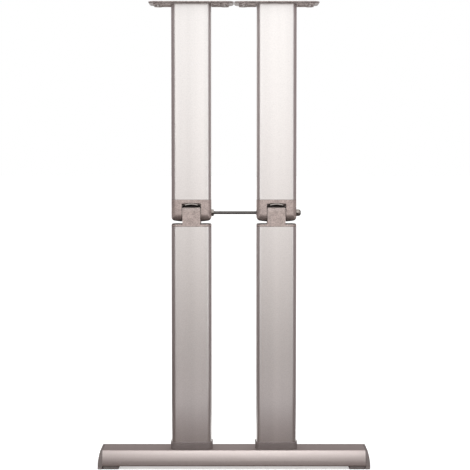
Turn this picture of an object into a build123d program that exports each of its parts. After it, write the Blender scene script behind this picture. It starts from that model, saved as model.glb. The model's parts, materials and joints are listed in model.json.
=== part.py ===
from build123d import *

import os
from math import sqrt

# Twin-column table base whose upper half tilts forward about one pivot rod.
# Millimetres. +Z is up, -Y is the front, and the origin is on the floor under the middle of the foot.

# Overall layout
base_height = 700.0
column_spacing = 128.0
pivot_height = 385.0

# Extruded columns with a screw port in each corner
column_width = 60.0
column_depth = 32.0
column_corner = 7.0
column_wall = 2.0
port_inset = 7.5

# Foot: extruded bar, end caps, pads and column collars
bar_length = 396.0
bar_height = 22.7
bar_top_width = 52.0
bar_base_width = 68.0
bar_base_edge = 1.5
bar_wall = 2.4
bar_web = 2.0
channel_width = 40.0
cap_length = 6.9
cap_top_length = 3.5
cap_edge = 2.0
plug_length = 10.0
plug_wall = 2.0
pad_thickness = 4.5
pad_length = 24.5
pad_inset = 1.0
pad_corner = 3.0
collar_wall = 1.7
collar_height = 10.5
collar_edge = 1.3

# Hinge castings
hinge_radius = 12.5
yoke_rise = 20.0
yoke_screw_seat = 8.0
slot_width = 29.0
tongue_width = 27.0
tongue_rise = 11.3
tongue_chamfer = 2.5
cam_corner = 9.0
heel_depth = 17.0
heel_pad = 7.5
ear_drop = 13.8
ear_bow = 2.8
ear_corner = 6.0
ear_back_corner = 4.0
cap_drop = 16.4
flange_thickness = 4.3
flange_edge = 2.0
joint_edge = 0.4
spigot_length = 18.0

# Bowed leaf spring that holds the tongue at its flats
spring_chord = 19.0
spring_rise = 1.7
spring_thickness = 1.0
spring_width = 17.0
spring_front_inset = 0.6
spring_headroom = 0.9

# Pivot rod, nuts and bushes
rod_radius = 3.0
rod_waist_radius = 2.25
rod_head_radius = 6.0
rod_key_flats = 4.0
rod_key_depth = 2.2
rod_tip = 0.8
nut_flats = 10.0
nut_height = 3.5
nut_edge = 0.7
lock_hex_height = 4.2
lock_ring_height = 1.8
lock_ring_radius = 4.6
lock_ring_edge = 1.0
lock_insert_radius = 4.0
lock_insert_length = 1.3
lock_insert_recess = 0.3
bush_wall = 1.5
bush_length = 12.0
bush_flange_radius = 7.5
bush_flange = 0.9

# Top plates
plate_gap = 0.6
plate_depth = 60.0
plate_thickness = 2.6
plate_corner = 14.0
plate_edge = 1.6
plate_spigot_length = 6.0
hole_spacing_x = 100.0
hole_spacing_y = 36.0
hole_radius = 2.75
hole_sink_radius = 5.0
boss_radius = 6.5
rib_width = 2.5
rib_height = 2.0

# Thread-forming screws, drawn at their core diameter
screw_radius = 2.25
screw_sink_radius = 4.5
screw_head_radius = 4.25
screw_head_height = 5.0
screw_key_flats = 3.0
screw_key_depth = 1.6
screw_bite = 14.0
pad_screw_length = 8.0
pad_screw_recess = 0.6

# Clearances
slip = 0.15
screw_slip = 0.25
bore_slip = 0.05
bush_slip = 0.02
swing_clearance = 0.7
heel_clearance = 0.3
stop_gap = 0.3
seat_gap = 0.05
cut_over = 1.0

# Places worked out from the sizes above
bar_bottom = pad_thickness
bar_top = bar_bottom + bar_height
bar_end = bar_length / 2
pad_width = bar_base_width - 2 * pad_inset
pad_screw_row = (channel_width / 2 + bar_web + bar_base_width / 2 - bar_wall) / 2
pad_screw_x = -plug_length - screw_sink_radius - screw_slip
plate_bottom = base_height - plate_thickness
plate_width = column_spacing - plate_gap
front_y = -column_depth / 2
pivot_y = front_y + hinge_radius
port_boss_radius = port_inset - column_wall / 2
cam_reach = cam_corner + sqrt((hinge_radius - cam_corner) ** 2 + (tongue_rise - cam_corner) ** 2)
slot_rise = cam_reach + swing_clearance
heel_rise = slot_rise - stop_gap
flange_drop = cap_drop + flange_thickness
spring_seat = tongue_rise + seat_gap
spring_crown = spring_seat + spring_rise + spring_thickness
spring_front = front_y + spring_front_inset
spring_back = spring_front + spring_width
bush_radius = rod_radius + bore_slip + bush_wall
inner_face = (column_spacing - column_width) / 2
outer_face = (column_spacing + column_width) / 2
lock_end = outer_face + lock_hex_height + lock_ring_height
insert_end = lock_end - lock_insert_recess
port_span_x = column_width - 2 * port_inset
port_span_y = column_depth - 2 * port_inset
port_places = GridLocations(port_span_x, port_span_y, 2, 2)
rear_port_places = Pos(0, port_span_y / 2) * GridLocations(port_span_x, 0, 2, 1)
hole_places = GridLocations(hole_spacing_x, hole_spacing_y, 2, 2)
pad_screw_rows = GridLocations(0, 2 * pad_screw_row, 1, 2)


def post(radius, low, high):
    """Cylinder on the Z axis between two heights."""
    return Pos(0, 0, (low + high) / 2) * Cylinder(radius, high - low)


def shaft(radius, start, end):
    """Cylinder on the pivot axis between two X places."""
    return Pos((start + end) / 2, pivot_y, 0) * Rot(0, 90, 0) * Cylinder(radius, end - start)


def hexagon(flats):
    """Hexagon of the given width across its flats."""
    return RegularPolygon(flats / 2, 6, major_radius=False)


def on_pivot(sketch, x):
    """Sketch turned to face along the pivot axis at an X place."""
    return Pos(x, pivot_y, 0) * (Plane.YZ * sketch)


def block(x_range, y_range, z_range):
    """Box between the given limits on each axis."""
    sizes = [high - low for low, high in (x_range, y_range, z_range)]
    middle = [(low + high) / 2 for low, high in (x_range, y_range, z_range)]
    return Pos(*middle) * Box(*sizes)


def panel(x_range, y_range):
    """Flat rectangle between the given limits."""
    width = x_range[1] - x_range[0]
    height = y_range[1] - y_range[0]
    return Pos(sum(x_range) / 2, sum(y_range) / 2) * Rectangle(width, height)


def countersunk_screw(length):
    """Screw that points down from the flat of its head at the origin."""
    head_height = screw_sink_radius - screw_radius
    head = Pos(0, 0, -head_height / 2) * Cone(screw_radius, screw_sink_radius, head_height)
    key = extrude(Pos(0, 0, -screw_key_depth) * hexagon(screw_key_flats), screw_key_depth + cut_over)
    return head + post(screw_radius, -length, -head_height) - key


def countersink(through):
    """Cut for a countersunk screw that is flush at the origin."""
    wide = screw_sink_radius + screw_slip
    narrow = screw_radius + screw_slip
    cone = Pos(0, 0, -(wide - narrow) / 2) * Cone(narrow, wide, wide - narrow)
    return cone + post(narrow, -through - cut_over, 0)


def socket_screw(length):
    """Screw that points up from the seat of its head at the origin."""
    screw = post(screw_head_radius, -screw_head_height, 0) + post(screw_radius, 0, length)
    key_outline = Pos(0, 0, -screw_head_height - cut_over) * hexagon(screw_key_flats)
    return screw - extrude(key_outline, 2 * screw_key_depth + cut_over)


def column_outline(growth=0.0):
    """Plan outline of a column, grown by the given amount on every side."""
    width = column_width + 2 * growth
    depth = column_depth + 2 * growth
    return RectangleRounded(width, depth, column_corner + growth)


def column(length):
    """Extruded column on the origin, with a screw port in each corner."""
    bosses = port_places * Circle(port_boss_radius)
    section = (column_outline() - column_outline(-column_wall) + bosses) & column_outline()
    section -= port_places * Circle(screw_radius + bore_slip)
    return extrude(section, length)


def spigot(length):
    """Plug that fills a column between its screw ports."""
    section = column_outline(-column_wall - slip) - port_places * Circle(port_boss_radius + slip)
    return extrude(section, length)


def flared(base, top, inset, height):
    """Reach of the foot's curved side at a height, upright at its base and inset evenly."""
    radius = ((base - top) ** 2 + bar_height**2) / (2 * (base - top))
    return base - radius + sqrt((radius - inset) ** 2 - (height - bar_bottom) ** 2)


def foot_outline(inset=0.0):
    """Cross-section of the foot bar, inset evenly from its outside."""
    low = bar_bottom + inset
    high = bar_top - inset
    levels = (low, (low + high) / 2, high)
    points = [(flared(bar_base_width / 2, bar_top_width / 2, inset, z), z) for z in levels]
    right = ThreePointArc(*points)
    left = ThreePointArc(*[(-y, z) for y, z in reversed(points)])
    return make_face([right, Line(right @ 1, left @ 0), left, Line(left @ 1, right @ 0)])


def channel(growth=0.0):
    """Middle channel of the foot bar, open below."""
    half = channel_width / 2 + growth
    return panel((-half, half), (bar_bottom - cut_over, bar_top - bar_wall))


def chambers(inset=0.0):
    """The two closed side chambers of the foot bar."""
    return foot_outline(bar_wall + inset) - channel(bar_web + inset)


def foot_bar():
    """Extruded bar with two side chambers and a middle channel."""
    section = foot_outline()
    section = fillet(section.vertices().group_by(Axis.Y)[0], bar_base_edge)
    section = section - chambers() - channel()
    bar = extrude(Plane.YZ * section, bar_end, both=True)
    column_hole = post(screw_radius + screw_slip, bar_bottom, bar_top + cut_over)
    pad_hole = post(screw_radius + bore_slip, 0, bar_bottom + bar_wall + cut_over)
    for sign in (-1, 1):
        bar -= [Pos(sign * column_spacing / 2) * hole for hole in port_places * column_hole]
        bar -= [Pos(sign * (bar_end + pad_screw_x)) * hole for hole in pad_screw_rows * pad_hole]
    return bar


def foot_pad():
    """Pad that screws under the foot bar, its outer edge at X 0."""
    outline = Pos(-pad_length / 2) * RectangleRounded(pad_length, pad_width, pad_corner)
    recess = post(screw_sink_radius + screw_slip, -cut_over, pad_screw_recess)
    sink = recess + Pos(0, 0, pad_screw_recess) * Rot(180, 0, 0) * countersink(pad_thickness)
    return extrude(outline, pad_thickness) - [Pos(pad_screw_x) * cut for cut in pad_screw_rows * sink]


def pad_screws():
    """Screws that hold one pad, heads down in their recesses."""
    screw = Pos(pad_screw_x, 0, pad_screw_recess) * Rot(180, 0, 0) * countersunk_screw(pad_screw_length)
    return pad_screw_rows * screw


def foot_cap():
    """Moulded cap for the bar's right end at X 0, with two hollow plugs."""
    levels = (bar_bottom, bar_bottom + bar_height / 2, bar_top)
    curve = ThreePointArc(*[(flared(cap_length, cap_top_length, 0, z), z) for z in levels])
    outline = Polyline(curve @ 1, (0, bar_top), (0, 0), (cap_length, 0), curve @ 0)
    end = extrude(Plane.XZ * make_face([curve, *outline.edges()]), bar_base_width, both=True)
    skirt = panel((-bar_base_width / 2, bar_base_width / 2), (0, bar_bottom))
    body = extrude(Plane.YZ * (foot_outline() + skirt), cap_length) & end
    sides = [edge for edge in body.edges() if abs(edge.center().Y) > bar_top_width / 2]
    mitres = [edge for edge in sides if edge.bounding_box().min.X > cap_top_length / 2]
    body = fillet(mitres, cap_edge)
    plug = chambers(slip) - chambers(slip + plug_wall)
    return body + extrude(Plane.YZ * plug, -plug_length)


def collar():
    """Ring around the foot of a column, standing on the origin."""
    ring = extrude(column_outline(collar_wall), collar_height)
    ring = fillet(ring.edges().group_by(Axis.Z)[-1], collar_edge)
    return ring - extrude(column_outline(slip), collar_height)


def knuckle():
    """Casting that caps a lower column and carries the hinge tongue, with the pivot at height 0."""
    flange = extrude(Pos(0, 0, -flange_drop) * column_outline(), flange_thickness)
    flange = fillet(flange.edges().group_by(Axis.Z)[-1], flange_edge)
    flange = chamfer(flange.edges().group_by(Axis.Z)[0], joint_edge)
    heel_y = pivot_y + heel_depth
    tongue_low = -cap_drop - flange_edge
    side = panel((front_y, heel_y), (tongue_low, tongue_rise))
    side = fillet(side.vertices().group_by(Axis.Y)[-1].sort_by(Axis.X)[0], cam_corner)
    front = panel((-tongue_width / 2, tongue_width / 2), (tongue_low, tongue_rise))
    front = chamfer(front.vertices().group_by(Axis.Y)[-1], tongue_chamfer)
    tongue = extrude(Plane.YZ * side, tongue_width, both=True)
    tongue &= extrude(Plane.XZ * front, column_depth, both=True)
    half_heel = slot_width / 2 - heel_clearance
    heel = block((-half_heel, half_heel), (heel_y - heel_pad, heel_y), (-cap_drop, heel_rise))
    body = flange + tongue + heel + Pos(0, 0, -flange_drop - spigot_length) * spigot(spigot_length)
    body -= shaft(bush_radius + bush_slip, -tongue_width, tongue_width)
    return body - [Pos(0, 0, -cap_drop) * sink for sink in port_places * countersink(flange_thickness)]


def knuckle_screws():
    """Screws down through the flange into the lower column's ports."""
    return port_places * (Pos(0, 0, -cap_drop) * countersunk_screw(flange_thickness + screw_bite))


def pivot_bushes():
    """Flanged bushes pressed into a tongue from both sides."""
    side = tongue_width / 2
    start = side - bush_length
    end = side + bush_flange
    bush = shaft(bush_radius, start, side) + shaft(bush_flange_radius, side, end)
    bush -= shaft(rod_radius + bore_slip, start - cut_over, end + cut_over)
    return [bush, mirror(bush, Plane.YZ)]


def yoke_front():
    """Front outline of a yoke, with a bowed lower edge and rounded lower corners."""
    half = column_width / 2
    corner_drop = ear_drop - ear_bow
    bow = ThreePointArc((-half, -corner_drop), (0, -ear_drop), (half, -corner_drop))
    frame = Polyline(bow @ 1, (half, yoke_rise), (-half, yoke_rise), bow @ 0)
    outline = make_face([bow, *frame.edges()])
    return fillet(outline.vertices().group_by(Axis.Y)[0], ear_corner)


def yoke(has_rod_head):
    """Forked casting under an upper column, with the pivot at height 0."""
    plan = extrude(Pos(0, 0, -ear_drop) * column_outline(), ear_drop + yoke_rise)
    plan = chamfer(plan.edges().group_by(Axis.Z)[-1], joint_edge)
    side = panel((front_y, -front_y), (-ear_drop, yoke_rise))
    side = fillet(side.vertices().group_by(Axis.Y)[0].sort_by(Axis.X)[0], hinge_radius)
    side = fillet(side.vertices().group_by(Axis.Y)[0].sort_by(Axis.X)[-1], ear_back_corner)
    body = plan & extrude(Plane.YZ * side, column_width, both=True)
    body &= extrude(Plane.XZ * yoke_front(), column_depth, both=True)
    half_slot = slot_width / 2
    slot_heights = (-ear_drop - cut_over, slot_rise)
    body -= block((-half_slot, half_slot), (2 * front_y, -2 * front_y), slot_heights)
    body -= spring_pocket()
    body -= shaft(rod_radius + slip, -column_width, column_width)
    if has_rod_head:
        body -= rod_head(-column_width / 2, slip)
    counterbore = post(screw_head_radius + screw_slip, -ear_drop - cut_over, yoke_screw_seat)
    screw_hole = counterbore + post(screw_radius + screw_slip, 0, yoke_rise + cut_over)
    body -= rear_port_places * screw_hole
    return body + Pos(0, 0, yoke_rise) * spigot(spigot_length)


def spring_pocket():
    """Arched recess in the slot's ceiling above the leaf spring."""
    half = slot_width / 2
    arch = ThreePointArc((-half, slot_rise), (0, spring_crown + spring_headroom), (half, slot_rise))
    floor = Polyline(arch @ 1, (half, slot_rise - cut_over), (-half, slot_rise - cut_over), arch @ 0)
    start = spring_back + slip
    profile = Pos(0, start, 0) * (Plane.XZ * make_face([arch, *floor.edges()]))
    return extrude(profile, start - front_y + cut_over)


def leaf_spring():
    """Bowed strip between a tongue and its slot's ceiling."""
    half = spring_chord / 2
    crown = spring_seat + spring_rise
    below = ThreePointArc((-half, spring_seat), (0, crown), (half, spring_seat))
    tip = spring_seat + spring_thickness
    above = ThreePointArc((half, tip), (0, spring_crown), (-half, tip))
    strip = make_face([below, Line(below @ 1, above @ 0), above, Line(above @ 1, below @ 0)])
    return extrude(Pos(0, spring_back, 0) * (Plane.XZ * strip), spring_width)


def yoke_screws():
    """Screws up through the rear of a yoke into the upper column's ports."""
    screw = Pos(0, 0, yoke_screw_seat) * socket_screw(yoke_rise - yoke_screw_seat + screw_bite)
    return rear_port_places * screw


def rod_head(face, growth=0.0):
    """Countersunk head on the pivot axis, flush with a face at an X place."""
    wide = rod_head_radius + growth
    narrow = rod_radius + growth
    height = wide - narrow
    return Pos(face + height / 2, pivot_y, 0) * Rot(0, 90, 0) * Cone(wide, narrow, height)


def pivot_rod():
    """Rod through both hinges, full size in the hinges and waisted between them."""
    clamp_end = -inner_face + nut_height
    rod = shaft(rod_radius, -outer_face, clamp_end + rod_tip) + rod_head(-outer_face)
    rod += shaft(rod_waist_radius, clamp_end, inner_face)
    rod += shaft(rod_radius, inner_face - rod_tip, lock_end + rod_tip)
    key_outline = on_pivot(hexagon(rod_key_flats), -outer_face - cut_over)
    return rod - extrude(key_outline, rod_key_depth + cut_over)


def hex_body(start, height):
    """Hexagon nut blank on the pivot axis with its corners turned off."""
    corner_radius = nut_flats / sqrt(3)
    turned = shaft(corner_radius, start, start + height)
    turned = chamfer(turned.edges().filter_by(GeomType.CIRCLE), nut_edge)
    return turned & extrude(on_pivot(hexagon(nut_flats), start), height)


def clamp_nut():
    """Plain nut that clamps the left yoke on the rod."""
    start = -inner_face
    end = start + nut_height
    return hex_body(start, nut_height) - shaft(rod_radius + bore_slip, start - cut_over, end + cut_over)


def lock_nut():
    """Nut with a rounded locking ring on the rod's right end."""
    ring = shaft(lock_ring_radius, outer_face + lock_hex_height - cut_over, lock_end)
    ring = fillet(ring.edges().filter_by(GeomType.CIRCLE).sort_by(Axis.X)[-1], lock_ring_edge)
    nut = hex_body(outer_face, lock_hex_height) + ring
    nut -= shaft(lock_insert_radius + bush_slip, insert_end - lock_insert_length, lock_end + cut_over)
    return nut - shaft(rod_radius + bore_slip, outer_face - cut_over, lock_end + cut_over)


def lock_insert():
    """Plastic ring in the lock nut's end that grips the rod."""
    start = insert_end - lock_insert_length
    ring = shaft(lock_insert_radius, start, insert_end)
    return ring - shaft(rod_radius + bore_slip, start - cut_over, insert_end + cut_over)


def top_plate():
    """Cast plate on an upper column, its underside at height 0, ribbed below."""
    plate = extrude(RectangleRounded(plate_width, plate_depth, plate_corner), plate_thickness)
    plate = chamfer(plate.edges().group_by(Axis.Z)[0], plate_edge)
    plate += Pos(0, 0, -plate_spigot_length) * spigot(plate_spigot_length)
    plate += hole_places * post(boss_radius, -rib_height, 0)
    half_rib = rib_width / 2
    reach = hole_spacing_x / 2
    row = hole_spacing_y / 2
    for sign in (-1, 1):
        run = sorted((sign * (column_width / 2 + slip), sign * reach))
        for y in (-row, 0, row):
            plate += block(run, (y - half_rib, y + half_rib), (-rib_height, 0))
        tie = sorted((sign * (reach - half_rib), sign * (reach + half_rib)))
        plate += block(tie, (-row, row), (-rib_height, 0))
    sink_height = hole_sink_radius - hole_radius
    sink = Pos(0, 0, sink_height / 2 - rib_height) * Cone(hole_sink_radius, hole_radius, sink_height)
    plate -= hole_places * (sink + post(hole_radius, -rib_height, plate_thickness + cut_over))
    return plate - port_places * (Pos(0, 0, plate_thickness) * countersink(plate_thickness))


def plate_screws():
    """Screws down through a plate into the upper column's ports."""
    return port_places * (Pos(0, 0, plate_thickness) * countersunk_screw(plate_thickness + screw_bite))


def foot_screws():
    """Screws up through the bar's top wall into the lower column's ports."""
    return port_places * (Pos(0, 0, -bar_wall) * socket_screw(bar_wall + screw_bite))


def placed(place, shape):
    """One shape, or a group of like shapes, moved to its place."""
    if isinstance(shape, list):
        return Compound(children=[place * piece for piece in shape])
    return place * shape


def assembly():
    """Every node of the base by name, in place."""
    nodes = {"foot_bar": foot_bar()}
    for side, sign in (("left", -1), ("right", 1)):
        x = sign * column_spacing / 2
        on_foot = Pos(x, 0, bar_top)
        at_pivot = Pos(x, 0, pivot_height)
        on_column = Pos(x, 0, plate_bottom)
        at_end = Pos(bar_end) if sign > 0 else Pos(-bar_end) * Rot(0, 0, 180)
        nodes[f"foot_cap_{side}"] = placed(at_end, foot_cap())
        nodes[f"foot_pad_{side}"] = placed(at_end, foot_pad())
        nodes[f"pad_screws_{side}"] = placed(at_end, pad_screws())
        nodes[f"collar_{side}"] = placed(on_foot, collar())
        nodes[f"foot_screws_{side}"] = placed(on_foot, foot_screws())
        nodes[f"lower_column_{side}"] = placed(on_foot, column(pivot_height - flange_drop - bar_top))
        nodes[f"knuckle_{side}"] = placed(at_pivot, knuckle())
        nodes[f"knuckle_screws_{side}"] = placed(at_pivot, knuckle_screws())
        nodes[f"pivot_bushes_{side}"] = placed(at_pivot, pivot_bushes())
        nodes[f"yoke_{side}"] = placed(at_pivot, yoke(has_rod_head=sign < 0))
        nodes[f"yoke_screws_{side}"] = placed(at_pivot, yoke_screws())
        nodes[f"leaf_spring_{side}"] = placed(at_pivot, leaf_spring())
        upper_length = plate_bottom - pivot_height - yoke_rise
        nodes[f"upper_column_{side}"] = placed(Pos(x, 0, pivot_height + yoke_rise), column(upper_length))
        nodes[f"top_plate_{side}"] = placed(on_column, top_plate())
        nodes[f"plate_screws_{side}"] = placed(on_column, plate_screws())
    at_rod = Pos(0, 0, pivot_height)
    nodes["pivot_rod"] = placed(at_rod, pivot_rod())
    nodes["clamp_nut"] = placed(at_rod, clamp_nut())
    nodes["lock_nut"] = placed(at_rod, lock_nut())
    nodes["lock_insert"] = placed(at_rod, lock_insert())
    return nodes


os.makedirs("parts", exist_ok=True)
for node_name, node_shape in assembly().items():
    export_step(node_shape, f"parts/{node_name}.step")
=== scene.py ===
import json
import math

import bpy
from bpy.props import FloatProperty, FloatVectorProperty, PointerProperty
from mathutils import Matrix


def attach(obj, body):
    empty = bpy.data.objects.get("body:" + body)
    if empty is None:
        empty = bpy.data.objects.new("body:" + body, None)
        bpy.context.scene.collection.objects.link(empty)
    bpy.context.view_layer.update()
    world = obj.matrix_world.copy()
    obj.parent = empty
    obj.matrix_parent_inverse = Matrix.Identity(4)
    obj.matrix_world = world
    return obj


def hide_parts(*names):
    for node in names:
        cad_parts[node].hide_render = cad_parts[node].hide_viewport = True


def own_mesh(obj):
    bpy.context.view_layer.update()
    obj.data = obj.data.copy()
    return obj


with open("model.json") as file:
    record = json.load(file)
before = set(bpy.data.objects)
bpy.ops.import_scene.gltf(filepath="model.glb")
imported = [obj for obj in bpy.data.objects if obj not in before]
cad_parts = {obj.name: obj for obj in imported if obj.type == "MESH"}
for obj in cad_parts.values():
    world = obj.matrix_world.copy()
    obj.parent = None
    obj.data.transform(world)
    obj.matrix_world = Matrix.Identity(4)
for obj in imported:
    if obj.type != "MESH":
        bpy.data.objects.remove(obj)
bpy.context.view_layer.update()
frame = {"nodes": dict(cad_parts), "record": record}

bl_info = {
    "name": "Tilt-top table base",
    "version": (1, 0, 0),
    "blender": (4, 5, 0),
    "location": "3D View > Sidebar > Table Base",
    "description": "Finishes a tilt-top table base and sets it in a plain studio",
    "category": "Object",
}

MM = 0.001

# Sockets of the Mix node, which has several of the same name, one for each kind of value.
FACTOR = 0
VALUE_A = 2
VALUE_B = 3
COLOUR_A = 6
COLOUR_B = 7
MIXED_COLOUR = 2


def linear(code):
    """Linear colour of an sRGB hex value such as #D8D2CE."""
    parts = [int(code[place : place + 2], 16) / 255 for place in (1, 3, 5)]
    return [part / 12.92 if part <= 0.04045 else ((part + 0.055) / 1.055) ** 2.4 for part in parts]


def colour(name, description, code):
    """Colour setting with its default given as an sRGB hex value."""
    return FloatVectorProperty(
        name=name, description=description, subtype="COLOR", size=3, min=0.0, max=1.0, default=linear(code)
    )


def length(name, description, millimetres):
    """Length setting with its default given in millimetres."""
    return FloatProperty(
        name=name,
        description=description,
        subtype="DISTANCE",
        unit="LENGTH",
        min=0.0,
        precision=5,
        default=millimetres * MM,
    )


class BASE_PG_finishes(bpy.types.PropertyGroup):
    """Colours and grain sizes of the base's finishes."""

    anodised: colour("Column aluminium", "Colour of the anodised columns", "#E7E4E2")
    foot_anodised: colour("Foot aluminium", "Colour of the anodised foot bar", "#C3B9B6")
    lacquer: colour("Hinge lacquer", "Colour of the hinge castings", "#DACBC5")
    lacquer_dark: colour("Hinge lacquer, dark", "Colour in the hollows of the castings' skin", "#9B8D89")
    cast_skin: colour("Plate casting", "Colour of the top plates", "#DDD2CE")
    cast_skin_dark: colour("Plate casting, dark", "Colour of the dark patches on the top plates", "#A39996")
    moulding: colour("Grey moulding", "Colour of the collars and end caps", "#746A68")
    pad: colour("Floor pad", "Colour of the rubber pads", "#645D5B")
    rod: colour("Pivot rod", "Colour of the drawn steel rod", "#6B6765")
    zinc: colour("Zinc plate", "Colour of the nuts and screws", "#9A948F")
    spring: colour("Spring steel", "Colour of the leaf springs", "#D8D2CD")
    bush: colour("Bush acetal", "Colour of the bushes", "#DAD6CC")
    blast_grit: length("Blast grit", "Size of the grain left by bead blasting", 1.3)
    die_line: length("Die line", "Width of the lines that the extrusion die leaves", 2.6)
    die_line_run: length("Die line run", "Length of the lines that the extrusion die leaves", 156.0)
    die_band: length("Die band", "Width of the broad bands that the extrusion die leaves", 24.0)
    die_band_run: length("Die band run", "Length of the broad bands that the extrusion die leaves", 1500.0)
    skin_grain: length("Casting grain", "Size of the grain of the castings' skin", 1.4)
    peel: length("Orange peel", "Size of the waves in the lacquer", 3.5)
    lacquer_cloud: length("Lacquer cloud", "Size of the cloudy patches in the lacquer", 8.0)
    cast_patch: length("Casting patch", "Size of the light and dark patches on the top plates", 5.0)
    spark_grain: length("Moulding grain", "Size of the grain on the mouldings", 1.2)
    moulding_cloud: length("Moulding cloud", "Size of the cloudy patches in the mouldings", 12.0)
    steel_line: length("Steel line", "Width of the lines along the steel", 0.5)
    steel_run: length("Steel run", "Length of the lines along the steel", 20.0)
    steel_cloud: length("Steel cloud", "Size of the patches of oxide on the steel", 9.0)


class BASE_PG_stage(bpy.types.PropertyGroup):
    """Camera, lights, floor, surround and the glowing cards that paint reflections."""

    distance: length("Camera distance", "From the middle of the base to the camera", 2300.0)
    height: length("Camera height", "Camera above the floor", 473.2)
    side: length("Camera side step", "Camera to the right of the base's middle", 1.6)
    pitch: FloatProperty(
        name="Camera pitch",
        description="Camera tilt below level",
        subtype="ANGLE",
        unit="ROTATION",
        default=math.radians(3.04),
    )
    lens: FloatProperty(
        name="Lens", description="Focal length of the camera", unit="CAMERA", min=1.0, default=116.6
    )
    floor: colour("Floor", "Colour of the floor", "#F2F1F0")
    floor_lift: FloatProperty(
        name="Floor lift",
        description="How far the floor is brightened towards white where it shows",
        default=0.45,
    )
    surround: colour("Surround", "Colour of the light from all sides", "#FFFFFF")
    surround_level: FloatProperty(
        name="Surround level", description="Strength of the light from all sides", default=0.8
    )
    # The card colours are painted reflections: they darken and warm the gloss of the metal.
    card: colour("Grey card", "Colour of the low card and of the tops of the other cards", "#9C9191")
    dark_card: colour("Dark card", "Colour of the cards round the base near the floor", "#6C6261")
    floor_card: colour("Floor card", "Colour of the floor near the base in reflections", "#716561")
    far_card: colour("Far floor card", "Colour of the floor far from the base in reflections", "#FFD6C4")
    key_power: FloatProperty(
        name="Key light", description="Power of the high light", unit="POWER", default=17.5
    )
    front_power: FloatProperty(
        name="Front light", description="Power of the front light", unit="POWER", default=4.0
    )


def add_node(tree, kind, inputs=(), **options):
    """Adds a shader node with its options, and with values or links for its sockets."""
    made = tree.nodes.new(kind)
    for option, value in options.items():
        setattr(made, option, value)
    for socket, value in dict(inputs).items():
        if isinstance(value, bpy.types.NodeSocket):
            tree.links.new(value, made.inputs[socket])
        else:
            made.inputs[socket].default_value = value
    return made


def new_material(name):
    """Empty node material, its output's surface socket and its object coordinates."""
    material = bpy.data.materials.new(name)
    material.use_nodes = True
    tree = material.node_tree
    tree.nodes.clear()
    output = add_node(tree, "ShaderNodeOutputMaterial")
    place = add_node(tree, "ShaderNodeTexCoord").outputs["Object"]
    return material, tree, output.inputs["Surface"], place


def rgba(value, factor=1.0):
    """Four-part colour of a colour setting, made lighter or darker by a factor."""
    return [part * factor for part in value] + [1.0]


def per_metre(size):
    """Texture scale that gives a pattern the size in metres."""
    return 1.0 / size


def dress(slot, material):
    """Gives the CAD nodes of one record slot their material."""
    for part in frame["record"]["subparts"]:
        if part["material_slot"] == slot:
            node = frame["nodes"][part["node"]]
            for place in node.material_slots:
                place.material = material


def painted_facing_shade(tree, tone, under, over, level):
    """Tone with painted shade: dimmed to a share of it on faces that look down, slope up or lie level."""
    normal = add_node(tree, "ShaderNodeTexCoord").outputs["Normal"]
    facing = add_node(tree, "ShaderNodeSeparateXYZ", {0: normal}).outputs["Z"]
    shade = tone
    # Each row has the Z of the normal at which a change starts and is full, and the share that it leaves.
    # The last row takes level faces from the share of sloping ones to their own.
    for start, end, share in ((-0.1, -0.8, under), (0.1, 0.8, over), (0.9, 1.0, level / over)):
        facing_dim = add_node(
            tree,
            "ShaderNodeMapRange",
            {"Value": facing, "From Min": start, "From Max": end, "To Min": 1.0, "To Max": share},
        )
        dark = add_node(
            tree, "ShaderNodeVectorMath", {0: shade, "Scale": facing_dim.outputs[0]}, operation="SCALE"
        )
        shade = dark.outputs[0]
    return shade


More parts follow.
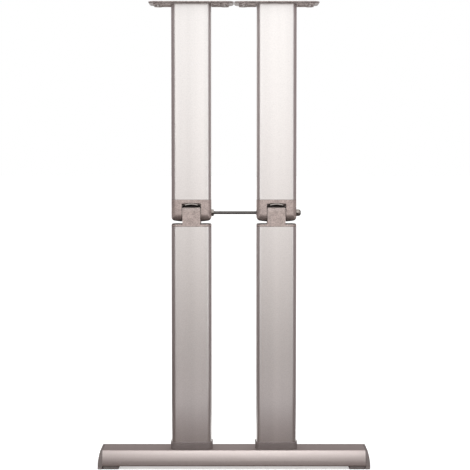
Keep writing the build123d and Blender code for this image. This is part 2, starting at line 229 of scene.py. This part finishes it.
def anodised_aluminium(name, shade, run, roughness):
    """Aluminium extrusion, bead blasted and clear anodised, drawn along the run axis.

    A soft metal sheen with a fine even grain, and faint long lines where the die has drawn it.
    """
    finishes = bpy.context.scene.base_finishes
    material, tree, surface, place = new_material(name)
    # Die lines are commonly under 0.5 mm wide, too fine to show, so they are drawn about two pixels wide.
    stretch = [per_metre(finishes.die_line_run if axis == run else finishes.die_line) for axis in "XYZ"]
    drawn = add_node(tree, "ShaderNodeMapping", {"Vector": place, "Scale": stretch})
    lines = add_node(
        tree, "ShaderNodeTexNoise", {"Vector": drawn.outputs[0], "Scale": 1.0, "Detail": 2.0}
    )
    # Blasting grit is commonly near 0.1 mm, too fine to show, so it is drawn about a pixel coarse.
    grain = add_node(
        tree,
        "ShaderNodeTexNoise",
        {"Vector": place, "Scale": per_metre(finishes.blast_grit), "Detail": 1.0},
    )
    wide = [per_metre(finishes.die_band_run if axis == run else finishes.die_band) for axis in "XYZ"]
    banded = add_node(tree, "ShaderNodeMapping", {"Vector": place, "Scale": wide})
    bands = add_node(
        tree, "ShaderNodeTexNoise", {"Vector": banded.outputs[0], "Scale": 1.0, "Detail": 1.0}
    )
    spread = add_node(
        tree, "ShaderNodeMapRange", {"Value": bands.outputs["Fac"], "From Min": 0.3, "From Max": 0.7}
    )
    mottle = add_node(
        tree,
        "ShaderNodeMix",
        {FACTOR: 0.4, VALUE_A: grain.outputs["Fac"], VALUE_B: spread.outputs[0]},
        data_type="FLOAT",
    )
    tone = add_node(
        tree,
        "ShaderNodeMix",
        {
            FACTOR: mottle.outputs[0],
            COLOUR_A: rgba(shade, factor=0.84),
            COLOUR_B: rgba(shade, factor=1.16),
        },
        data_type="RGBA",
    )
    blend = add_node(
        tree,
        "ShaderNodeMix",
        {FACTOR: 0.5, VALUE_A: grain.outputs["Fac"], VALUE_B: lines.outputs["Fac"]},
        data_type="FLOAT",
    )
    rough = add_node(
        tree,
        "ShaderNodeMapRange",
        {"Value": blend.outputs[0], "To Min": roughness - 0.07, "To Max": roughness + 0.07},
    )
    bump = add_node(
        tree, "ShaderNodeBump", {"Height": blend.outputs[0], "Strength": 0.3, "Distance": 0.012 * MM}
    )
    shader = add_node(
        tree,
        "ShaderNodeBsdfPrincipled",
        {
            "Base Color": tone.outputs[MIXED_COLOUR],
            "Metallic": 1.0,
            "Roughness": rough.outputs[0],
            "Normal": bump.outputs[0],
        },
    )
    tree.links.new(shader.outputs[0], surface)
    return material


def lacquered_casting():
    """Zinc die casting under a satin grey lacquer with metal flake.

    A soft grey with a fine sparkle, a slight orange peel and a darker tone in its hollows.
    """
    finishes = bpy.context.scene.base_finishes
    material, tree, surface, place = new_material("Lacquered zinc casting")
    # Casting grain is commonly near 0.2 mm, too fine to show, so it is drawn about a pixel coarse.
    grain = add_node(
        tree,
        "ShaderNodeTexNoise",
        {"Vector": place, "Scale": per_metre(finishes.skin_grain), "Detail": 2.0},
    )
    peel = add_node(
        tree, "ShaderNodeTexNoise", {"Vector": place, "Scale": per_metre(finishes.peel), "Detail": 2.0}
    )
    cloud = add_node(
        tree,
        "ShaderNodeTexNoise",
        {"Vector": place, "Scale": per_metre(finishes.lacquer_cloud), "Detail": 2.0},
    )
    mottle = add_node(
        tree,
        "ShaderNodeMix",
        {FACTOR: 0.4, VALUE_A: grain.outputs["Fac"], VALUE_B: cloud.outputs["Fac"]},
        data_type="FLOAT",
    )
    spread = add_node(
        tree, "ShaderNodeMapRange", {"Value": mottle.outputs[0], "From Min": 0.3, "From Max": 0.7}
    )
    tone = add_node(
        tree,
        "ShaderNodeMix",
        {
            FACTOR: spread.outputs[0],
            COLOUR_A: rgba(finishes.lacquer_dark),
            COLOUR_B: rgba(finishes.lacquer),
        },
        data_type="RGBA",
    )
    rough = add_node(
        tree, "ShaderNodeMapRange", {"Value": grain.outputs["Fac"], "To Min": 0.36, "To Max": 0.52}
    )
    fine = add_node(
        tree, "ShaderNodeBump", {"Height": grain.outputs["Fac"], "Strength": 0.3, "Distance": 0.03 * MM}
    )
    bump = add_node(
        tree,
        "ShaderNodeBump",
        {"Height": peel.outputs["Fac"], "Strength": 0.3, "Distance": 0.06 * MM, "Normal": fine.outputs[0]},
    )
    shader = add_node(
        tree,
        "ShaderNodeBsdfPrincipled",
        {
            # Painted shade: the tone is much darker on faces that look down or slope up, while level tops
            # keep it.
            "Base Color": painted_facing_shade(tree, tone.outputs[MIXED_COLOUR], under=0.34, over=0.16, level=1.0),
            "Metallic": 0.75,
            "Roughness": rough.outputs[0],
            "Normal": bump.outputs[0],
        },
    )
    tree.links.new(shader.outputs[0], surface)
    return material


def rough_casting():
    """Aluminium die casting left as it came from the die.

    A dull grey metal with cloudy light and dark patches and a pitted skin.
    """
    finishes = bpy.context.scene.base_finishes
    material, tree, surface, place = new_material("Raw aluminium casting")
    patches = add_node(
        tree,
        "ShaderNodeTexNoise",
        {"Vector": place, "Scale": per_metre(finishes.cast_patch), "Detail": 4.0},
    )
    spread = add_node(
        tree, "ShaderNodeMapRange", {"Value": patches.outputs["Fac"], "From Min": 0.28, "From Max": 0.72}
    )
    tone = add_node(
        tree,
        "ShaderNodeMix",
        {
            FACTOR: spread.outputs[0],
            COLOUR_A: rgba(finishes.cast_skin_dark),
            COLOUR_B: rgba(finishes.cast_skin),
        },
        data_type="RGBA",
    )
    # Pits are commonly near 0.2 mm wide, too fine to show, so they are drawn about a pixel wide.
    pits = add_node(
        tree,
        "ShaderNodeTexNoise",
        {"Vector": place, "Scale": per_metre(finishes.skin_grain), "Detail": 3.0},
    )
    bump = add_node(
        tree, "ShaderNodeBump", {"Height": pits.outputs["Fac"], "Strength": 0.5, "Distance": 0.1 * MM}
    )
    shader = add_node(
        tree,
        "ShaderNodeBsdfPrincipled",
        {
            # Painted shade: every face that is not upright is darker.
            "Base Color": painted_facing_shade(tree, tone.outputs[MIXED_COLOUR], under=0.6, over=0.6, level=0.6),
            "Metallic": 0.6,
            "Roughness": 0.5,
            "Normal": bump.outputs[0],
        },
    )
    tree.links.new(shader.outputs[0], surface)
    return material


def grained_moulding(name, shade, grain_size, roughness):
    """ABS, acetal or rubber, moulded in a spark-eroded tool.

    A flat tone that scatters light evenly, with a fine leathery grain.
    """
    finishes = bpy.context.scene.base_finishes
    material, tree, surface, place = new_material(name)
    # Moulded grain is commonly near 0.1 mm, too fine to show, so it is drawn a pixel coarse or more.
    grain = add_node(
        tree, "ShaderNodeTexNoise", {"Vector": place, "Scale": per_metre(grain_size), "Detail": 2.0}
    )
    cloud = add_node(
        tree,
        "ShaderNodeTexNoise",
        {"Vector": place, "Scale": per_metre(finishes.moulding_cloud), "Detail": 2.0},
    )
    mottle = add_node(
        tree,
        "ShaderNodeMix",
        {FACTOR: 0.5, VALUE_A: grain.outputs["Fac"], VALUE_B: cloud.outputs["Fac"]},
        data_type="FLOAT",
    )
    tone = add_node(
        tree,
        "ShaderNodeMix",
        {
            FACTOR: mottle.outputs[0],
            COLOUR_A: rgba(shade, factor=0.78),
            COLOUR_B: rgba(shade, factor=1.2),
        },
        data_type="RGBA",
    )
    bump = add_node(
        tree, "ShaderNodeBump", {"Height": grain.outputs["Fac"], "Strength": 0.5, "Distance": 0.08 * MM}
    )
    shader = add_node(
        tree,
        "ShaderNodeBsdfPrincipled",
        {"Base Color": tone.outputs[MIXED_COLOUR], "Roughness": roughness, "Normal": bump.outputs[0]},
    )
    tree.links.new(shader.outputs[0], surface)
    return material


def drawn_steel(name, shade, run, roughness):
    """Steel bar or strip, drawn or rolled along the run axis, with a thin oxide.

    A grey metal with fine lines along its length and a slightly patchy gloss.
    """
    finishes = bpy.context.scene.base_finishes
    material, tree, surface, place = new_material(name)
    # Drawing lines are commonly near 0.05 mm wide, too fine to show, so they are drawn coarser.
    stretch = [per_metre(finishes.steel_run if axis == run else finishes.steel_line) for axis in "XYZ"]
    drawn = add_node(tree, "ShaderNodeMapping", {"Vector": place, "Scale": stretch})
    lines = add_node(
        tree, "ShaderNodeTexNoise", {"Vector": drawn.outputs[0], "Scale": 1.0, "Detail": 2.0}
    )
    cloud = add_node(
        tree,
        "ShaderNodeTexNoise",
        {"Vector": place, "Scale": per_metre(finishes.steel_cloud), "Detail": 2.0},
    )
    mottle = add_node(
        tree,
        "ShaderNodeMix",
        {FACTOR: 0.5, VALUE_A: lines.outputs["Fac"], VALUE_B: cloud.outputs["Fac"]},
        data_type="FLOAT",
    )
    tone = add_node(
        tree,
        "ShaderNodeMix",
        {
            FACTOR: mottle.outputs[0],
            COLOUR_A: rgba(shade, factor=0.75),
            COLOUR_B: rgba(shade, factor=1.2),
        },
        data_type="RGBA",
    )
    rough = add_node(
        tree,
        "ShaderNodeMapRange",
        {"Value": mottle.outputs[0], "To Min": roughness - 0.08, "To Max": roughness + 0.08},
    )
    bump = add_node(
        tree, "ShaderNodeBump", {"Height": lines.outputs["Fac"], "Strength": 0.3, "Distance": 0.01 * MM}
    )
    shader = add_node(
        tree,
        "ShaderNodeBsdfPrincipled",
        {
            # Painted shade: every face that is not upright is darker.
            "Base Color": painted_facing_shade(tree, tone.outputs[MIXED_COLOUR], under=0.5, over=0.5, level=0.5),
            "Metallic": 1.0,
            "Roughness": rough.outputs[0],
            "Normal": bump.outputs[0],
        },
    )
    tree.links.new(shader.outputs[0], surface)
    return material


class BASE_OT_columns(bpy.types.Operator):
    """Finishes the four columns"""

    bl_idname = "table_base.columns"
    bl_label = "Finish columns"

    def execute(self, context):
        shade = context.scene.base_finishes.anodised
        aluminium = anodised_aluminium("Anodised aluminium column", shade, run="Z", roughness=0.34)
        dress("column_aluminium", aluminium)
        return {"FINISHED"}


class BASE_OT_foot_bar(bpy.types.Operator):
    """Finishes the foot bar"""

    bl_idname = "table_base.foot_bar"
    bl_label = "Finish foot bar"

    def execute(self, context):
        shade = context.scene.base_finishes.foot_anodised
        aluminium = anodised_aluminium("Anodised aluminium bar", shade, run="X", roughness=0.48)
        dress("foot_aluminium", aluminium)
        return {"FINISHED"}


class BASE_OT_castings(bpy.types.Operator):
    """Finishes the yokes, knuckles and top plates"""

    bl_idname = "table_base.castings"
    bl_label = "Finish castings"

    def execute(self, context):
        dress("hinge_casting", lacquered_casting())
        dress("plate_casting", rough_casting())
        return {"FINISHED"}


class BASE_OT_mouldings(bpy.types.Operator):
    """Finishes the collars, end caps, pads and bushes"""

    bl_idname = "table_base.mouldings"
    bl_label = "Finish mouldings"

    def execute(self, context):
        finishes = context.scene.base_finishes
        grain = finishes.spark_grain
        dress("grey_moulding", grained_moulding("Moulded ABS", finishes.moulding, grain, roughness=0.5))
        dress("pad_rubber", grained_moulding("Moulded rubber", finishes.pad, grain, roughness=0.75))
        dress("bush_plastic", grained_moulding("Moulded acetal", finishes.bush, 3 * grain, roughness=0.4))
        return {"FINISHED"}


class BASE_OT_steel(bpy.types.Operator):
    """Finishes the rod, nuts and screws"""

    bl_idname = "table_base.steel"
    bl_label = "Finish steel parts"

    def execute(self, context):
        finishes = context.scene.base_finishes
        dress("rod_steel", drawn_steel("Drawn steel rod", finishes.rod, run="X", roughness=0.42))
        nut = drawn_steel("Zinc-plated nut steel", finishes.zinc, run="X", roughness=0.45)
        dress("nut_steel", nut)
        screw = drawn_steel("Zinc-plated screw steel", finishes.zinc, run="Z", roughness=0.45)
        dress("screw_steel", screw)
        return {"FINISHED"}


class BASE_OT_leaf_springs(bpy.types.Operator):
    """Sets leaf springs over the tongues, carried with the upper half"""

    bl_idname = "table_base.leaf_springs"
    bl_label = "Set leaf springs"

    def execute(self, context):
        shade = context.scene.base_finishes.spring
        steel = drawn_steel("Rolled spring steel", shade, run="X", roughness=0.28)
        tilt = frame["record"]["behaviour"]["joints"][0]
        for side in ("left", "right"):
            node = f"leaf_spring_{side}"
            leaf = bpy.data.objects.new(f"bowed_leaf_{side}", frame["nodes"][node].data.copy())
            context.scene.collection.objects.link(leaf)
            leaf.data.materials.clear()
            leaf.data.materials.append(steel)
            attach(leaf, tilt["child"])
            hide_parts(node)

            # With the upper half level, the spring lies over the tongue's front face.
            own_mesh(leaf)
        return {"FINISHED"}


def shown_rays(tree):
    """Socket that is 1 for the rays that show a surface to the camera, straight or in gloss or glass."""
    rays = add_node(tree, "ShaderNodeLightPath")
    seen = add_node(
        tree,
        "ShaderNodeMath",
        {0: rays.outputs["Is Camera Ray"], 1: rays.outputs["Is Glossy Ray"]},
        operation="MAXIMUM",
    )
    shown = add_node(
        tree,
        "ShaderNodeMath",
        {0: seen.outputs[0], 1: rays.outputs["Is Transmission Ray"]},
        operation="MAXIMUM",
    )
    return shown.outputs[0]


def card(name, low, high, material):
    """Flat stage card between two opposite corners, square to the axis on which they agree."""
    first, second = [axis for axis in range(3) if low[axis] != high[axis]]
    corners = []
    for along, across in ((low, low), (high, low), (high, high), (low, high)):
        corner = list(low)
        corner[first] = along[first]
        corner[second] = across[second]
        corners.append(corner)
    mesh = bpy.data.meshes.new(name)
    mesh.from_pydata(corners, [], [range(4)])
    made = bpy.data.objects.new(name, mesh)
    mesh.materials.append(material)
    bpy.context.scene.collection.objects.link(made)
    return made


def painted_reflection_glow(name, axis, reach, shades):
    """Glow of a card that paints reflections, fading from one shade to another along an axis, evenly for
    each tenfold step.
    """
    material, tree, surface, place = new_material(name)
    split = add_node(tree, "ShaderNodeSeparateXYZ", {0: place})
    away = add_node(tree, "ShaderNodeMath", {0: split.outputs[axis]}, operation="ABSOLUTE")
    tenfold = add_node(tree, "ShaderNodeMath", {0: away.outputs[0], 1: 10.0}, operation="LOGARITHM")
    near, far = [math.log10(end) for end in reach]
    fade = add_node(
        tree, "ShaderNodeMapRange", {"Value": tenfold.outputs[0], "From Min": near, "From Max": far}
    )
    grade = add_node(
        tree,
        "ShaderNodeMix",
        {FACTOR: fade.outputs[0], COLOUR_A: shades[0], COLOUR_B: shades[1]},
        data_type="RGBA",
    )
    glow = add_node(tree, "ShaderNodeEmission", {"Color": grade.outputs[MIXED_COLOUR], "Strength": 1.0})
    tree.links.new(glow.outputs[0], surface)
    return material


class BASE_OT_stage(bpy.types.Operator):
    """Sets the floor, cards, surround, lights and camera"""

    bl_idname = "table_base.stage"
    bl_label = "Set the stage"

    def execute(self, context):
        scene = context.scene
        stage = scene.base_stage
        scene.view_settings.view_transform = "Standard"

        material, tree, surface, _ = new_material("Pale floor")
        matt = add_node(tree, "ShaderNodeBsdfDiffuse", {"Color": rgba(stage.floor)})
        lift = add_node(
            tree, "ShaderNodeMath", {0: shown_rays(tree), 1: stage.floor_lift}, operation="MULTIPLY"
        )
        glow = add_node(
            tree, "ShaderNodeEmission", {"Color": rgba(stage.surround), "Strength": lift.outputs[0]}
        )
        both = add_node(tree, "ShaderNodeAddShader", {0: matt.outputs[0], 1: glow.outputs[0]})
        tree.links.new(both.outputs[0], surface)
        far = 30.0
        card("floor", (-far, -far, 0), (far, far, 0), material)

        # Cards that paint reflections: they glow, light nothing and only reflections show them. Each has
        # the axis along which it fades, the distances between which it does so, its two shades and two
        # opposite corners.
        brown = rgba(stage.floor_card)
        pale = rgba(stage.far_card)
        grey = rgba(stage.card)
        dark = rgba(stage.dark_card)
        side = 0.3  # from the middle of the base to the cards beside it
        cards = (
            ("card_floor", "Y", (1.3, 40.0), (brown, pale), (-0.7, -8, 0.003), (0.7, -0.025, 0.003)),
            ("card_left", "Z", (0.1, 1.0), (dark, grey), (-side, -0.5, 0), (-side, 0.3, 0.8)),
            ("card_right", "Z", (0.02, 0.6), (dark, grey), (side, -0.35, 0), (side, 0.3, 0.8)),
            ("card_low", "Z", (0.01, 0.09), (grey, grey), (-side, -0.3, 0), (side, -0.3, 0.09)),
            ("card_back", "Z", (0.02, 0.5), (dark, grey), (-side, 0.35, 0), (side, 0.35, 0.35)),
        )
        for name, axis, reach, shades, low, high in cards:
            flag = card(name, low, high, painted_reflection_glow(name, axis, reach, shades))
            flag.visible_camera = flag.visible_diffuse = flag.visible_shadow = False

        world = bpy.data.worlds.new("Pale surround")
        world.use_nodes = True
        tree = world.node_tree
        tree.nodes.clear()
        strength = add_node(
            tree,
            "ShaderNodeMapRange",
            {"Value": shown_rays(tree), "To Min": stage.surround_level, "To Max": 1.0},
        )
        sky = add_node(
            tree,
            "ShaderNodeBackground",
            {"Color": rgba(stage.surround), "Strength": strength.outputs[0]},
        )
        out = add_node(tree, "ShaderNodeOutputWorld")
        tree.links.new(sky.outputs[0], out.inputs["Surface"])
        scene.world = world

        # Each lamp has its width and height, its power, its place and its turn in degrees.
        lamps = (
            ("key", (1.6, 1.0), stage.key_power, (0.4, -1.4, 2.4), (32, 0, 14)),
            ("front", (3.0, 1.05), stage.front_power, (0.0, -3.2, 0.775), (90, 0, 0)),
        )
        for name, (wide, high), power, place, turn in lamps:
            lamp = bpy.data.lights.new(name, "AREA")
            lamp.shape = "RECTANGLE"
            lamp.size, lamp.size_y = wide, high
            lamp.energy = power
            light = bpy.data.objects.new(name, lamp)
            light.location = place
            light.rotation_euler = [math.radians(angle) for angle in turn]
            scene.collection.objects.link(light)

        eye = bpy.data.cameras.new("camera")
        eye.lens = stage.lens
        eye.sensor_width = 36.0
        camera = bpy.data.objects.new("camera", eye)
        camera.location = (stage.side, -stage.distance, stage.height)
        camera.rotation_euler = (math.pi / 2 - stage.pitch, 0, 0)
        scene.collection.objects.link(camera)
        scene.camera = camera
        return {"FINISHED"}


class BASE_PT_panel(bpy.types.Panel):
    """Lists the base's settings and steps"""

    bl_idname = "BASE_PT_panel"
    bl_label = "Table Base"
    bl_space_type = "VIEW_3D"
    bl_region_type = "UI"
    bl_category = "Table Base"

    def draw(self, context):
        for settings in (context.scene.base_finishes, context.scene.base_stage):
            for name in settings.__annotations__:
                self.layout.prop(settings, name)
        for operator in OPERATORS:
            self.layout.operator(operator.bl_idname)


OPERATORS = (
    BASE_OT_columns,
    BASE_OT_foot_bar,
    BASE_OT_castings,
    BASE_OT_mouldings,
    BASE_OT_steel,
    BASE_OT_leaf_springs,
    BASE_OT_stage,
)
CLASSES = (BASE_PG_finishes, BASE_PG_stage, *OPERATORS, BASE_PT_panel)


def register():
    """Adds the classes and their settings to Blender."""
    for made in CLASSES:
        bpy.utils.register_class(made)
    bpy.types.Scene.base_finishes = PointerProperty(type=BASE_PG_finishes)
    bpy.types.Scene.base_stage = PointerProperty(type=BASE_PG_stage)


def unregister():
    """Takes the settings and classes away again."""
    del bpy.types.Scene.base_stage
    del bpy.types.Scene.base_finishes
    for made in reversed(CLASSES):
        bpy.utils.unregister_class(made)


def main():
    """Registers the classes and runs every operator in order."""
    register()
    for step in OPERATORS:
        group, name = step.bl_idname.split(".")
        getattr(getattr(bpy.ops, group), name)()


if __name__ == "__main__":
    main()
